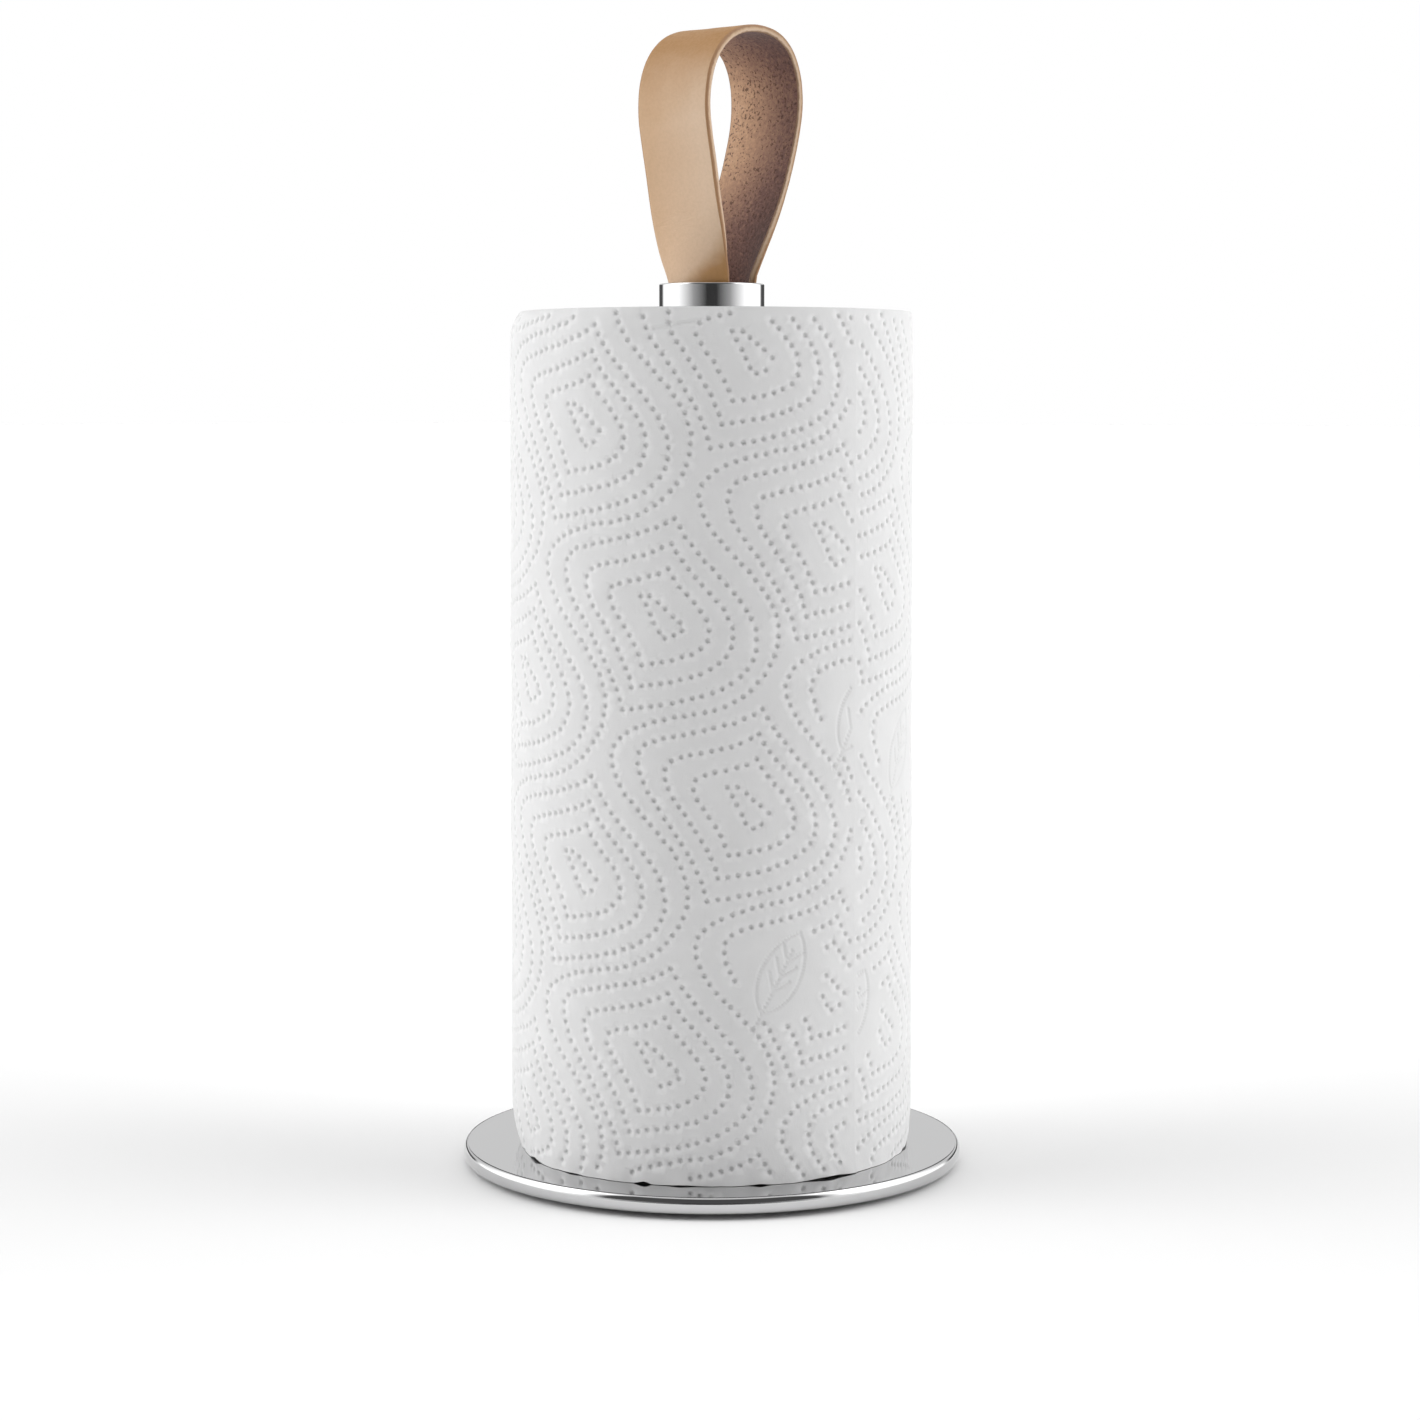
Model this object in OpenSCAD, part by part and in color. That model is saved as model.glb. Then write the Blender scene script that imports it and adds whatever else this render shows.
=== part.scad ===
// Paper towel holder: weighted round base, polished post, leather grab loop and a kitchen roll.
// Millimetres. +Z is up, the origin is on the table under the centre of the base.
// X is the way the strap loop is wide, Y is along the strap's width.

/* [Base] */
// Outer diameter of the base, at the widest part of the rim
base_d = 140; // [136:1:160]
// Height of the base's polished top face above the table
base_top = 6; // [5.75:0.25:9]
// Height of the barrel-shaped rim
rim_h = 4.5; // [4.25:0.25:4.75]
// How far the rim bulges beyond the flat top
rim_bulge = 1.1; // [0.8:0.1:2]
// Sheet thickness of the base shell
shell_t = 1; // [0.8:0.1:1.2]
// Diameter of the rubber pad
pad_d = 126; // [110:1:130]
// Thickness of the rubber pad
pad_t = 2; // [1.75:0.25:2.25]

/* [Post] */
// Outer diameter of the post
post_d = 29; // [28:0.5:32]
// Height of the post above the base's top face
post_h = 239.6; // [230:0.1:300]
// Wall thickness of the post's tube
post_wall = 1.2; // [1:0.1:1.5]
// Inner diameter of the bush that lines the post's mouth
mouth_d = 24; // [23:0.5:25]
// Length of the bush
bush_h = 32; // [30:1:60]

/* [Screw] */
// Diameter of the screw's shank
screw_d = 6; // [5:0.5:6]
// Height of the screw's tip above the table
screw_top = 24; // [18:1:26]

/* [Strap] */
// Width of the leather strip
strap_w = 25; // [22:1:26]
// Thickness of the leather
strap_t = 2; // [1.5:0.1:2.2]
// Height of the loop above the post
loop_h = 71.8; // [60:0.1:90]
// Half of the loop's width, at its widest, to the middle of the leather
loop_half = 19.5; // [18:0.5:22]
// How far the loop's widest part sits to the +X side
loop_lean = 3.9; // [-5:0.1:5]
// Height above the mouth at which the cupped ends have become flat
cup_h = 30; // [20:1:36]
// Length of leather inside the bush
leg_h = 25; // [22:1:28]

/* [Roll] */
// Outer diameter of the kitchen roll
roll_d = 112; // [90:1:120]
// Height of the kitchen roll
roll_h = 231.5; // [200:0.1:232]
// Inner diameter of the cardboard core
core_d = 42; // [38:1:50]
// Wall thickness of the cardboard core
core_t = 1; // [0.6:0.1:2]
// Direction of the sheet's free edge, in degrees from +X
tail_at = 264; // [0:1:360]

/* [Hidden] */
$fn = 96;

steel = [0.78, 0.78, 0.77];
raw_steel = [0.6, 0.6, 0.6];
iron = [0.2, 0.2, 0.21];
rubber = [0.08, 0.08, 0.08];
tan = [0.78, 0.6, 0.42];
nylon = [0.85, 0.85, 0.82];
card = [0.72, 0.6, 0.45];
paper = [0.95, 0.95, 0.94];

eps = 0.1;                                  // how far a cutter runs past the face it cuts
fit = 0.05;                                 // radial clearance between a piece and its seat

// base
base_r = base_d / 2;
rim_r = base_r - rim_bulge;                 // where the flat top ends
rim_z = base_top - rim_h;                   // lowest level of the shell
lip_t = 0.8;                                // thickness of the curled-in lip
lip_w = 3.4;                                // width of the curled-in lip
shell_in = rim_r - 0.3;                     // inner radius of the rim wall
weight_r = shell_in - 0.2;
weight_top = base_top - shell_t;
weight_foot_r = rim_r - lip_w - 0.3;        // the weight's step inside the lip
pad_r = pad_d / 2;
pad_hole_r = 11;                            // gives the hex key its way in
rim_steps = 24;                             // bands round the rim's half ellipse

// screw
screw_r = screw_d / 2;
head_r = screw_r * 1.95;
head_z = rim_z + 0.3;                       // lowest level of the screw's head
socket_af = 4;                              // hex key size
socket_depth = 2;

// post
post_r = post_d / 2;
post_in = post_r - post_wall;
post_top = base_top + post_h;
mouth_r = mouth_d / 2;
bush_z = post_top - bush_h;
insert_h = 20;
edge = 0.4;                                 // chamfer on turned edges

// strap
strap_out = mouth_r - 0.1;                  // outer radius of the cupped ends
strap_mid = strap_out - strap_t / 2;        // middle of the leather in the bush
plug_r = strap_out - strap_t - 0.2;
plug_z = post_top - leg_h;
plug_h = leg_h - 3;
pin_r = 2;
pin_z = post_top - 15;
pin_half = post_in - fit - 0.3;
pin_hole_r = pin_r + 0.3;                   // hole punched in the leather
loop_top = loop_h - strap_t / 2;            // top of the leather's middle line
widest = 0.68 * loop_h;                     // height of the loop's widest part
bend_steps = 7;                             // stations along each bend of the loop
across = 10;                                // strips across the leather's width

// roll
roll_gap = 0.3;                             // the roll clears the plate it stands on
roll_z = base_top + roll_gap;
roll_r = roll_d / 2;
sheet_t = 0.4;                              // the outermost turn
core_r = core_d / 2;
wind_in = core_r + core_t + 0.3;
wind_out = roll_r - sheet_t;
soft_w = 3;                                 // how far the roll's bottom corner gives way
soft_h = 12;
top_edge = 1.2;                             // small rounding of the top corner
groove_t = 0.2;                             // depth of the groove at the free edge
groove_w = 0.5;

// a ring with square edges
module ring(r_out, r_in, z, h) {
    translate([0, 0, z])
        difference() {
            cylinder(r = r_out, h = h);
            translate([0, 0, -eps]) cylinder(r = r_in, h = h + 2 * eps);
        }
}

// --- base ---

// half ellipse of the rim, from the top edge down and out to the bottom edge
function rim_outline() = [
    for (i = [0:rim_steps])
        let (a = 90 - 180 * i / rim_steps)
        [rim_r + rim_bulge * cos(a), rim_z + rim_h / 2 * (1 + sin(a))]
];

module base_shell() {
    color(steel)
        difference() {
            rotate_extrude()
                polygon(concat([[0, base_top]], rim_outline(), [[0, rim_z]]));
            translate([0, 0, rim_z - eps]) cylinder(r = rim_r - lip_w, h = lip_t + 2 * eps);
            translate([0, 0, rim_z + lip_t]) cylinder(r = shell_in, h = weight_top - rim_z - lip_t);
            cylinder(r = screw_r + 0.3, h = base_top + eps);
        }
}

module base_weight() {
    color(iron)
        difference() {
            union() {
                translate([0, 0, rim_z + lip_t]) cylinder(r = weight_r, h = weight_top - rim_z - lip_t);
                translate([0, 0, rim_z]) cylinder(r = weight_foot_r, h = lip_t);
            }
            translate([0, 0, rim_z - eps]) cylinder(r = pad_r + 0.2, h = pad_t - rim_z + eps);
            cylinder(r = screw_r + 0.3, h = base_top);
            translate([0, 0, rim_z]) countersink(head_r + 0.2);
        }
}

// the cone that a countersunk head sits in, from its wide face up to the shank
module countersink(r) {
    low = head_z - rim_z;
    cylinder(r = r, h = low);
    translate([0, 0, low]) cylinder(r1 = r, r2 = r - (head_r - screw_r), h = head_r - screw_r);
}

module grip_pad() {
    color(rubber) ring(pad_r, pad_hole_r, 0, pad_t);
}

module base_screw() {
    color(raw_steel)
        difference() {
            union() {
                translate([0, 0, head_z]) cylinder(r1 = head_r, r2 = screw_r, h = head_r - screw_r);
                translate([0, 0, head_z]) cylinder(r = screw_r, h = screw_top - head_z);
            }
            translate([0, 0, head_z - eps])
                cylinder(d = socket_af / cos(30), h = socket_depth + eps, $fn = 6);
        }
}

// --- post ---

module foot_insert() {
    color(raw_steel)
        difference() {
            translate([0, 0, base_top]) turned(post_in - fit, insert_h);
            translate([0, 0, base_top - eps]) cylinder(r = screw_r + fit, h = insert_h + 2 * eps);
        }
}

// a turned cylinder with both rims chamfered
module turned(r, h) {
    cylinder(r1 = r - edge, r2 = r, h = edge);
    translate([0, 0, edge]) cylinder(r = r, h = h - 2 * edge);
    translate([0, 0, h - edge]) cylinder(r1 = r, r2 = r - edge, h = edge);
}

module post_tube() {
    color(steel)
        translate([0, 0, base_top])
            rotate_extrude()
                polygon([
                    [post_in, 0], [post_r, 0], [post_r, post_h - edge],
                    [post_r - edge, post_h], [post_in, post_h]
                ]);
}

module top_bush() {
    color(steel)
        difference() {
            ring(post_in - fit, mouth_r, bush_z, bush_h);
            translate([0, 0, post_top - edge])
                cylinder(r1 = mouth_r, r2 = mouth_r + edge + eps, h = edge + eps);
            cross_hole(pin_r + fit, post_r);
        }
}

// --- strap ---

// a hole along X, right through, at the pin's height
module cross_hole(r, half) {
    translate([-half, 0, pin_z]) rotate([0, 90, 0]) cylinder(r = r, h = 2 * half);
}

// point of a cubic curve through a and d, pulled towards b and c
function bend(a, b, c, d, t) =
    pow(1 - t, 3) * a + 3 * t * pow(1 - t, 2) * b + 3 * t * t * (1 - t) * c + pow(t, 3) * d;

// corners of the loop's middle line, as [x, height above the mouth], and the pulls between them
left = loop_lean - loop_half;
right = loop_lean + loop_half;
crown = loop_lean + 1.4;
side = 0.67 * loop_half;                    // length of the pulls at the top
bends = [
    [[-strap_mid, 0.17 * widest], [-strap_mid + 0.5, 0.6 * widest], [left, 0.78 * widest], [left, 0.97 * widest]],
    [[left, 0.97 * widest], [left, widest + side], [crown - side + 1.8, loop_top], [crown, loop_top]],
    [[crown, loop_top], [crown + side - 1.8, loop_top], [right, widest + side + 1.5], [right, 1.03 * widest]],
    [[right, 1.03 * widest], [right, 0.74 * widest], [strap_mid, 0.37 * widest], [strap_mid, 0]]
];
loop_line = concat(
    [[-strap_mid, -leg_h], [-strap_mid, -leg_h / 2], [-strap_mid, 0]],
    [for (b = bends, i = [0:bend_steps - 1]) bend(b[0], b[1], b[2], b[3], i / bend_steps)],
    [[strap_mid, 0], [strap_mid, -leg_h / 2], [strap_mid, -leg_h]]
);

// how much the leather is cupped at height h: 1 in the bush, 0 above cup_h
function cupped(h) = h <= 0 ? 1 : h >= cup_h ? 0 : pow(1 - h / cup_h, 2);

function unit(v) = v / norm(v);
function along(i) = unit(loop_line[min(i + 1, len(loop_line) - 1)] - loop_line[max(i - 1, 0)]);

// point of the leather at station i, s across its width (-1 to 1), o out from its middle
function skin(i, s, o) =
    let (
        c = loop_line[i],
        t = along(i),
        n = [-t[1], t[0]],                  // out of the loop
        k = max(cupped(c[1]) / strap_mid, 0.0001),
        a = s * strap_w / 2 * k * 180 / PI,
        sink = (1 - cos(a)) / k,
        out = o * cos(a) - sink
    )
    [c[0] + n[0] * out, (1 / k + o) * sin(a), post_top + c[1] + n[1] * out];

// one closed ring of points round the leather's section at station i
function section(i) = concat(
    [for (j = [0:across]) skin(i, 2 * j / across - 1, strap_t / 2)],
    [for (j = [across:-1:0]) skin(i, 2 * j / across - 1, -strap_t / 2)]
);

module strap() {
    ring_n = 2 * (across + 1);
    last = len(loop_line) - 1;
    points = [for (i = [0:last]) each section(i)];
    walls = [
        for (i = [0:last - 1], j = [0:ring_n - 1])
            let (a = i * ring_n + j, b = i * ring_n + (j + 1) % ring_n)
            each [[a, b, b + ring_n], [a, b + ring_n, a + ring_n]]
    ];
    ends = [
        for (i = [0, last], j = [0:across - 1])
            let (a = i * ring_n + j, b = i * ring_n + ring_n - 1 - j)
            each i == 0
                ? [[a, b, b - 1], [a, b - 1, a + 1]]
                : [[a, b - 1, b], [a, a + 1, b - 1]]
    ];
    color(tan)
        difference() {
            polyhedron(points, concat(walls, ends));
            cross_hole(pin_hole_r, post_r);
        }
}

module strap_plug() {
    color(nylon)
        difference() {
            translate([0, 0, plug_z]) turned(plug_r, plug_h);
            cross_hole(pin_r + fit, post_r);
        }
}

module strap_pin() {
    color(raw_steel) cross_hole(pin_r, pin_half);
}

// --- kitchen roll ---

module roll_core() {
    color(card) ring(core_r + core_t, core_r, roll_z, roll_h);
}

module paper_winding() {
    color(paper)
        translate([0, 0, roll_z])
            rotate_extrude()
                polygon([
                    [wind_in, 0], [wind_out - soft_w, 0], [wind_out - soft_w / 4, soft_h / 3],
                    [wind_out, soft_h], [wind_out, roll_h - top_edge], [wind_out - top_edge, roll_h],
                    [wind_in, roll_h]
                ]);
}

// the outermost turn, with a groove where its free edge lies on the turn below
module outer_sheet() {
    color(paper)
        difference() {
            ring(roll_r, wind_out + fit, roll_z + soft_h, roll_h - soft_h - top_edge);
            rotate([0, 0, tail_at])
                translate([roll_r - groove_t, -groove_w, roll_z])
                    cube([groove_t + eps, groove_w, roll_h]);
        }
}

base_shell();
base_weight();
grip_pad();
base_screw();
foot_insert();
post_tube();
top_bush();
strap();
strap_plug();
strap_pin();
roll_core();
paper_winding();
outer_sheet();
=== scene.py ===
"""Looks of the paper towel holder: polished steel, tan leather and an embossed kitchen roll.

Metres. +Z is up, and the origin is on the table under the centre of the base.
"""
import math
import random

import bpy
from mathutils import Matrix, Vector, geometry, kdtree, noise


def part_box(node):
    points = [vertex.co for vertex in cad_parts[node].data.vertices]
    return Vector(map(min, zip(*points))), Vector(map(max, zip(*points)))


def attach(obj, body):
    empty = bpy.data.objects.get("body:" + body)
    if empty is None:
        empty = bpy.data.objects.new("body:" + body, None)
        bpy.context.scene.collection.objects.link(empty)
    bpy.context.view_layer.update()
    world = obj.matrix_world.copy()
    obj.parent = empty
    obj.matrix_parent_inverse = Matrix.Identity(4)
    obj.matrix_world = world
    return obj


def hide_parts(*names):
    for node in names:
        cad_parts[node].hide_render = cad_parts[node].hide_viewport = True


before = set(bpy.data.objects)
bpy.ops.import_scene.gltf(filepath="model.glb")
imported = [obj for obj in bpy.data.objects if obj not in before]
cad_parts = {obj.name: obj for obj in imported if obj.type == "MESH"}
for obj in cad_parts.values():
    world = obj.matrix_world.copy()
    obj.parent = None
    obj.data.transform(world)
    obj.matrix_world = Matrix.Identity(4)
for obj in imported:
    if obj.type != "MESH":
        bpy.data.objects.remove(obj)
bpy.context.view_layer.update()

mm = 0.001

# --- sizes taken from the frame ---

shell_low, shell_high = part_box("base_shell")
post_low, post_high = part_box("post_tube")
bush_low, bush_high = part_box("top_bush")
core_low, core_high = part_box("roll_core")
wind_low, wind_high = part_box("paper_winding")
sheet_low, sheet_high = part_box("outer_sheet")

base_r = shell_high.x
base_top = shell_high.z
post_r = post_high.x
post_top = post_high.z
roll_r = sheet_high.x
roll_low = wind_low.z
roll_top = wind_high.z

# --- where the photographer stands ---

camera_bearing = math.radians(221)          # direction from the post to the camera
camera_distance = 0.8795
camera_height = 0.212
aim_height = 0.1275                         # the camera looks at the axis here
aim_left = 0.5 * mm
picture_side = 1420                         # pixels
focal_pixels = 3160.6

toward_camera = Vector((math.cos(camera_bearing), math.sin(camera_bearing), 0))
camera_right = Vector((-toward_camera.y, toward_camera.x, 0))


def add_camera():
    data = bpy.data.cameras.new("camera")
    data.sensor_width = 36
    data.lens = data.sensor_width * focal_pixels / picture_side
    data.clip_start = 0.01
    data.clip_end = 100
    camera = bpy.data.objects.new("camera", data)
    camera.location = toward_camera * camera_distance + Vector((0, 0, camera_height))
    aim = Vector((0, 0, aim_height)) - camera_right * aim_left
    camera.rotation_euler = (aim - camera.location).to_track_quat("-Z", "Y").to_euler()
    bpy.context.scene.collection.objects.link(camera)
    bpy.context.scene.camera = camera


# --- node and mesh helpers ---

class Material:
    """A node material round one Principled shader, with short calls to add nodes."""

    def __init__(self, name, **sockets):
        self.data = bpy.data.materials.new(name)
        self.data.use_nodes = True
        self.tree = self.data.node_tree
        self.shader = self.tree.nodes["Principled BSDF"]
        for socket, value in sockets.items():
            self.shader.inputs[socket.replace("_", " ")].default_value = value

    def add(self, kind, links=(), values=(), **settings):
        """Adds a node. links and values are (input, source or value) pairs."""
        node = self.tree.nodes.new("ShaderNode" + kind)
        for name, value in settings.items():
            setattr(node, name, value)
        for socket, source in links:
            self.tree.links.new(source, node.inputs[socket])
        for socket, value in values:
            node.inputs[socket].default_value = value
        return node

    def place(self):
        """Object coordinates: metres in the holder's own frame."""
        return self.add("TexCoord").outputs["Object"]

    def stretch(self, scale, source=None):
        """Coordinates scaled by a different amount along X, Y and Z."""
        node = self.add("Mapping", [("Vector", source or self.place())], [("Scale", scale)])
        return node.outputs["Vector"]

    def noise(self, scale, source=None, detail=3, roughness=0.55, distortion=0):
        node = self.add(
            "TexNoise",
            [("Vector", source or self.place())],
            [("Scale", scale), ("Detail", detail), ("Roughness", roughness), ("Distortion", distortion)],
        )
        return node.outputs["Fac"]

    def ramp(self, source, stops):
        """Maps 0..1 onto values or colours; stops are (position, value or colour)."""
        node = self.add("ValToRGB", [("Fac", source)])
        elements = node.color_ramp.elements
        while len(elements) < len(stops):
            elements.new(0.5)
        for element, (position, colour) in zip(elements, stops):
            element.position = position
            element.color = (*colour, 1) if isinstance(colour, tuple) else (colour, colour, colour, 1)
        return node.outputs["Color"]

    def mix(self, factor, a, b, blend="MIX"):
        """Mixes two colours, given as sources or plain colours, by a source or a number."""
        node = self.add("Mix", data_type="RGBA", blend_type=blend)
        for index, value in ((0, factor), (6, a), (7, b)):
            if isinstance(value, bpy.types.NodeSocket):
                self.tree.links.new(value, node.inputs[index])
            elif isinstance(value, tuple):
                node.inputs[index].default_value = (*value, 1)
            else:
                node.inputs[index].default_value = value
        return node.outputs[2]

    def maths(self, operation, a, b=0.0, clamp=False):
        node = self.add("Math", operation=operation, use_clamp=clamp)
        for index, value in enumerate((a, b)):
            if isinstance(value, bpy.types.NodeSocket):
                self.tree.links.new(value, node.inputs[index])
            else:
                node.inputs[index].default_value = value
        return node.outputs[0]

    def bump(self, height, distance, strength=1.0, under=None):
        links = [("Height", height)] + ([("Normal", under)] if under else [])
        node = self.add("Bump", links, [("Distance", distance), ("Strength", strength)])
        return node.outputs["Normal"]

    def set(self, socket, source):
        self.tree.links.new(source, self.shader.inputs[socket])


def add_mesh(name, points, faces, materials, sharp=None):
    mesh = bpy.data.meshes.new(name)
    mesh.from_pydata(points, [], faces)
    mesh.update()
    mesh.shade_smooth()
    if sharp:
        mesh.set_sharp_from_angle(angle=math.radians(sharp))
    for material in materials:
        mesh.materials.append(material.data)
    piece = bpy.data.objects.new(name, mesh)
    bpy.context.scene.collection.objects.link(piece)
    return piece


def lathe(name, outline, material, sides=256, sharp=40):
    """A closed outline of (radius, height) points, listed clockwise, turned about the axis."""
    count = len(outline)
    points = []
    for side in range(sides):
        angle = 2 * math.pi * side / sides
        points += [(r * math.cos(angle), r * math.sin(angle), z) for r, z in outline]
    faces = []
    for side in range(sides):
        here, there = side * count, (side + 1) % sides * count
        for i in range(count):
            j = (i + 1) % count
            faces.append((here + i, here + j, there + j, there + i))
    return add_mesh(name, points, faces, [material], sharp)


def arc(centre_r, centre_z, radius_r, radius_z, start, end, steps):
    """Points on an ellipse, from one angle to the other, in degrees."""
    angles = [math.radians(start + (end - start) * i / steps) for i in range(steps + 1)]
    return [(centre_r + radius_r * math.cos(a), centre_z + radius_z * math.sin(a)) for a in angles]


def cubic(a, b, c, d, t):
    s = 1 - t
    return a * s ** 3 + b * (3 * s * s * t) + c * (3 * s * t * t) + d * t ** 3


def smooth(t):
    t = max(0.0, min(1.0, t))
    return t * t * (3 - 2 * t)


# --- materials ---

def polished_steel():
    """Mirror steel with a trace of polishing haze and very fine scratches round the axis."""
    m = Material("polished_steel", Base_Color=(0.60, 0.60, 0.605, 1), Metallic=1.0)
    haze = m.noise(60, detail=4)
    fine = m.noise(1400, m.stretch((1, 1, 4)), detail=2)
    mixed = m.maths("ADD", m.maths("MULTIPLY", haze, 0.7), m.maths("MULTIPLY", fine, 0.3))
    m.set("Roughness", m.ramp(mixed, [(0.3, 0.035), (0.75, 0.085)]))
    m.set("Normal", m.bump(fine, 0.002 * mm, 0.25))
    return m


def tissue():
    """Soft white tissue with fine fibres, with painted shade in its pressed dots and lines."""
    m = Material("tissue_paper", Roughness=0.95, Specular_IOR_Level=0.15)
    cloud = m.noise(90, detail=4)
    white = m.ramp(cloud, [(0.3, (0.735, 0.735, 0.735)), (0.7, (0.77, 0.77, 0.77))])
    # pressed is 1 in the middle of a dot, 0 on plain sheet and -0.35 on the raised ring round a dot
    pressed = m.add("Attribute", attribute_name="pressed").outputs["Fac"]
    level = m.maths("DIVIDE", m.maths("ADD", pressed, 0.35), 1.35)
    # painted shade: the pressed dots and leaf lines are darker, and the raised rings round the dots are
    # lighter as painted light
    painted_dent_shade = m.ramp(level, [(0.0, 1.0), (0.26, 0.96), (0.6, 0.93), (1.0, 0.87)])
    m.set("Base Color", m.mix(1.0, white, painted_dent_shade, "MULTIPLY"))
    fibre = m.noise(1500, m.stretch((1, 1, 0.6)), detail=5, roughness=0.7)
    m.set("Normal", m.bump(fibre, 0.06 * mm, 0.5))
    return m


def wound_paper():
    """The end of the roll: edges of many turns, with painted shade that makes the gaps between them slightly
    greyer.
    """
    m = Material("wound_paper_edges", Roughness=0.95, Specular_IOR_Level=0.15)
    x, y, _ = m.add("SeparateXYZ", [("Vector", m.place())]).outputs
    across = m.maths("SQRT", m.maths("ADD", m.maths("MULTIPLY", x, x), m.maths("MULTIPLY", y, y)))
    wobble = m.maths("MULTIPLY", m.noise(55, detail=2), 1.2 * mm)
    turns = m.maths("MULTIPLY", m.maths("ADD", across, wobble), 2 * math.pi / (0.75 * mm))
    wave = m.maths("ADD", m.maths("MULTIPLY", m.maths("SINE", turns), 0.5), 0.5)
    relief_and_gap_shade = m.maths("MULTIPLY", wave, m.noise(700, detail=4))
    # painted shade: the gaps between the turns, and some places at random, are greyer
    m.set("Base Color", m.ramp(relief_and_gap_shade, [(0.05, (0.74, 0.73, 0.72)), (0.5, (0.92, 0.92, 0.915))]))
    m.set("Normal", m.bump(relief_and_gap_shade, 0.25 * mm, 0.7))
    return m


def cardboard():
    m = Material("core_cardboard", Roughness=0.9, Specular_IOR_Level=0.2)
    flecks = m.noise(900, m.stretch((1, 1, 0.3)), detail=5, roughness=0.7)
    patches = m.noise(40, detail=3)
    tone = m.maths("ADD", m.maths("MULTIPLY", flecks, 0.6), m.maths("MULTIPLY", patches, 0.4))
    m.set("Base Color", m.ramp(tone, [(0.3, (0.36, 0.29, 0.21)), (0.7, (0.55, 0.46, 0.35))]))
    m.set("Normal", m.bump(flecks, 0.08 * mm, 0.6))
    return m


def strap_places(m):
    """Where a point of the strap is: 0..1 across its width, and 0..1 up the loop."""
    _, y, z = m.add("SeparateXYZ", [("Vector", m.place())]).outputs
    across = m.maths("ADD", m.maths("DIVIDE", y, strap_w), 0.5)
    rise = m.maths("DIVIDE", m.maths("SUBTRACT", z, post_top), loop_h)
    return across, rise


def leather_grain():
    """Vegetable-tanned outer side: pale tan, browner at the crown of the loop and along a slanting band at
    its foot, with fine pores.
    """
    m = Material("leather_grain", Roughness=0.5, Specular_IOR_Level=0.35)
    across, rise = strap_places(m)
    patches = m.noise(38, detail=4, roughness=0.6)
    drift = m.maths("MULTIPLY", m.maths("SUBTRACT", patches, 0.5), 0.5)
    colour = m.ramp(m.maths("ADD", across, drift), [(0.15, (0.62, 0.455, 0.32)), (0.9, (0.575, 0.38, 0.23))])
    wander = m.maths("MULTIPLY", drift, 0.4)
    crown = m.ramp(m.maths("ADD", rise, wander), [(0.60, 0.0), (0.75, 0.45), (0.86, 0.9), (0.94, 1.0)])
    slant = m.maths("ADD", m.maths("ADD", rise, m.maths("MULTIPLY", across, 0.4)), wander)
    foot = m.ramp(slant, [(0.0, 1.0), (0.10, 0.85), (0.20, 0.0)])
    colour = m.mix(m.maths("MAXIMUM", crown, foot), colour, (0.38, 0.19, 0.055))
    pores = m.noise(1100, detail=4, roughness=0.65)
    colour = m.mix(0.14, colour, m.ramp(pores, [(0.35, 0.6), (0.6, 1.0)]), "MULTIPLY")
    m.set("Base Color", colour)
    m.set("Roughness", m.ramp(pores, [(0.3, 0.58), (0.7, 0.40)]))
    cells = m.add("TexVoronoi", [("Vector", m.place())], [("Scale", 950)], feature="DISTANCE_TO_EDGE")
    crackle = m.ramp(cells.outputs["Distance"], [(0.0, 0.0), (0.12, 1.0)])
    wrinkle = m.noise(210, m.stretch((1, 1, 2.4)), detail=3, distortion=0.6)
    low_down = m.ramp(rise, [(0.10, 0.0), (0.22, 1.0), (0.36, 0.0)])
    first = m.bump(crackle, 0.03 * mm, 0.3)
    second = m.bump(m.maths("MULTIPLY", wrinkle, low_down), 0.5 * mm, 0.5, first)
    m.set("Normal", m.bump(pores, 0.05 * mm, 0.4, second))
    return m


def leather_flesh():
    """Suede inner side: brown nap with dark flecks, with painted light towards its far edge and painted shade
    at its top and foot.
    """
    m = Material("leather_flesh", Roughness=0.95, Specular_IOR_Level=0.1)
    m.shader.inputs["Sheen Weight"].default_value = 0.15
    across, rise = strap_places(m)
    # painted light: paler towards the far edge of the width
    side = m.ramp(across, [(0.0, 0.42), (0.22, 0.47), (0.36, 0.58), (0.75, 0.88), (1.0, 1.0)])
    # painted shade: darker at the top and at the foot of the loop
    level = m.ramp(rise, [
        (0.0, 0.46), (0.2, 0.54), (0.36, 0.78), (0.5, 1.0), (0.76, 1.0), (0.88, 0.72), (1.0, 0.6),
    ])
    nap = m.noise(1000, m.stretch((1, 1, 0.85)), detail=5, roughness=0.75)
    tone = m.maths("SUBTRACT", m.maths("MULTIPLY", m.maths("MULTIPLY", side, level), 1.1), 0.2)
    tone = m.maths("ADD", tone, m.maths("MULTIPLY", m.maths("SUBTRACT", nap, 0.5), 0.95))
    tan = m.ramp(tone, [
        (0.0, (0.11, 0.067, 0.06)), (0.22, (0.21, 0.12, 0.10)), (0.45, (0.345, 0.205, 0.145)),
        (0.8, (0.56, 0.355, 0.225)), (1.0, (0.64, 0.42, 0.28)),
    ])
    clusters = m.maths("MULTIPLY", m.maths("SUBTRACT", m.noise(130, detail=2), 0.5), 0.25)
    flecks = m.ramp(m.maths("ADD", m.noise(1250, detail=2), clusters), [(0.57, 0.0), (0.65, 0.75)])
    m.set("Base Color", m.mix(flecks, tan, (0.08, 0.043, 0.035)))
    m.set("Normal", m.bump(nap, 0.35 * mm, 0.8))
    return m


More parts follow.
